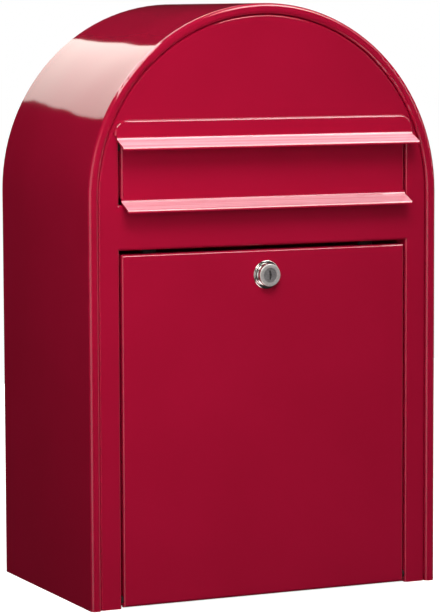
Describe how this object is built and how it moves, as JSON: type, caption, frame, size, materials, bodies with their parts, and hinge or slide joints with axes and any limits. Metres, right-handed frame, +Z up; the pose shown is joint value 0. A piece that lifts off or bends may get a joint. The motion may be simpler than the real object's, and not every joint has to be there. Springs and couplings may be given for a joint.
{
  "type": "letter box",
  "caption": "Arched wall letter box of folded painted steel with a hooded mail flap, a drop-down collection door hinged at its foot and a cam lock.",
  "frame": {"origin": "middle of the base, on the plane that the box stands on; the body's depth is centred on it", "axes": "+Z up, -Y is the front with flap and door, +Y is the wall side"},
  "size_m": [0.38, 0.2545, 0.59],
  "materials": {
    "paint": "glossy crimson powder coat",
    "nickel": "satin nickel plate",
    "zinc": "bright zinc plate",
    "black_steel": "blackened steel",
    "bush": "black nylon",
    "buffer": "matte black rubber"
  },
  "bodies": {
    "cabinet": {"shell": "paint", "back_panel": "paint", "floor_tray": "paint", "front_panel": "paint", "slot_hood": "paint", "letter_baffle": "paint", "door_pin_left": "black_steel", "door_pin_right": "black_steel", "door_clip_left": "black_steel", "door_clip_right": "black_steel", "flap_pin_left": "black_steel", "flap_pin_right": "black_steel", "flap_clip_left": "black_steel", "flap_clip_right": "black_steel", "flap_buffers": "buffer", "door_buffers": "buffer"},
    "door": {"door": "paint", "door_bush_left": "bush", "door_bush_right": "bush", "lock_housing": "nickel", "lock_washer": "zinc", "lock_nut": "zinc"},
    "lock": {"lock_plug": "nickel", "lock_cam": "zinc", "cam_screw": "zinc"},
    "flap": {"mail_flap": "paint", "flap_bush_left": "bush", "flap_bush_right": "bush"}
  },
  "joints": [
    {"name": "door_hinge", "type": "hinge", "parent": "cabinet", "child": "door", "pos_m": [0, -0.1095, 0.0085], "axis": [1, 0, 0], "range_deg": [0, 85]},
    {"name": "flap_hinge", "type": "hinge", "parent": "cabinet", "child": "flap", "pos_m": [0, -0.109, 0.452], "axis": [-1, 0, 0], "range_deg": [0, 69]},
    {"name": "lock_turn", "type": "hinge", "parent": "door", "child": "lock", "pos_m": [0, -0.115, 0.3225], "axis": [0, 1, 0], "range_deg": [0, 180]}
  ]
}
